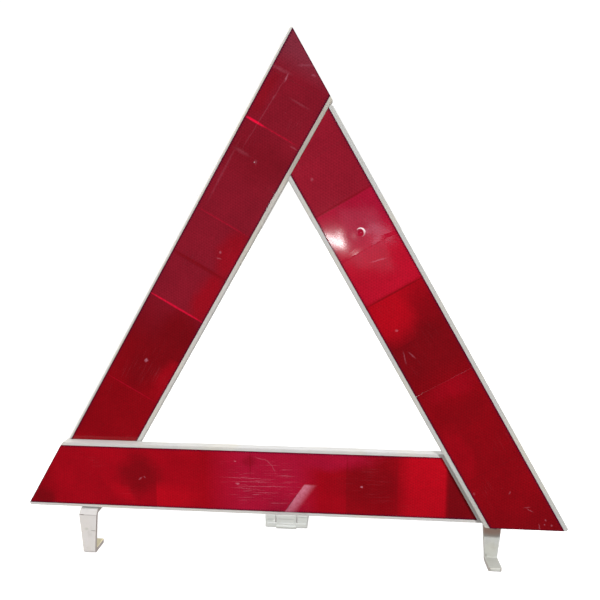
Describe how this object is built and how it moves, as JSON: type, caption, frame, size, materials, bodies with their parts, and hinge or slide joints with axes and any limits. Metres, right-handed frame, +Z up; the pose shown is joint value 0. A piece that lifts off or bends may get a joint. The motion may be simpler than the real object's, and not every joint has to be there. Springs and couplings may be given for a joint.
{
  "type": "warning triangle",
  "caption": "Folding roadside warning triangle: red reflector strips in white rims, two arms that fold onto the base strip, and two swivelling feet.",
  "frame": {"origin": "centre of the bounding box on the ground plane under the feet", "axes": "+X along the base strip to the viewer's right, +Y from the reflecting front to the back, +Z up"},
  "size_m": [0.4474, 0.032, 0.4285],
  "materials": {
    "white_plastic": "aged white moulding, satin",
    "red_reflector": "transparent red prismatic lens over a reflector, glossy and scuffed",
    "reflector_backing": "pale sheet",
    "steel": "zinc plated",
    "nylon": "natural nylon"
  },
  "bodies": {
    "base": {"base_housing": "white_plastic", "base_lens": "red_reflector", "base_backing": "reflector_backing", "base_lens_screws": "steel", "left_pivot_rivet": "steel", "right_pivot_rivet": "steel", "left_pivot_washer": "nylon", "right_pivot_washer": "nylon", "left_rear_washer": "steel", "left_foot_screw": "steel", "right_foot_screw": "steel", "left_foot_washer": "nylon", "right_foot_washer": "nylon", "storage_clip": "white_plastic", "clip_screws": "steel"},
    "left_arm": {"left_arm_housing": "white_plastic", "left_arm_lens": "red_reflector", "left_arm_backing": "reflector_backing", "left_arm_lens_screws": "steel", "apex_keeper": "white_plastic", "keeper_screws": "steel"},
    "right_arm": {"right_arm_housing": "white_plastic", "right_arm_lens": "red_reflector", "right_arm_backing": "reflector_backing", "right_arm_lens_screws": "steel"},
    "left_foot": {"left_foot": "white_plastic"},
    "right_foot": {"right_foot": "white_plastic"}
  },
  "joints": [
    {"name": "left_arm_fold", "type": "hinge", "parent": "base", "child": "left_arm", "pos_m": [-0.17564, 0.0048, 0.0675], "axis": [0, 0.9999, 0.0148], "range_deg": [0, 60]},
    {"name": "right_arm_fold", "type": "hinge", "parent": "base", "child": "right_arm", "pos_m": [0.17564, -0.0048, 0.0675], "axis": [0, -0.9999, 0.0148], "range_deg": [0, 60]},
    {"name": "left_foot_swivel", "type": "hinge", "parent": "base", "child": "left_foot", "pos_m": [-0.17, 0.0008, 0.0367], "axis": [0, 0, 1], "range_deg": [0, 90]},
    {"name": "right_foot_swivel", "type": "hinge", "parent": "base", "child": "right_foot", "pos_m": [0.17, 0.0008, 0.0367], "axis": [0, 0, 1], "range_deg": [0, 90]}
  ]
}
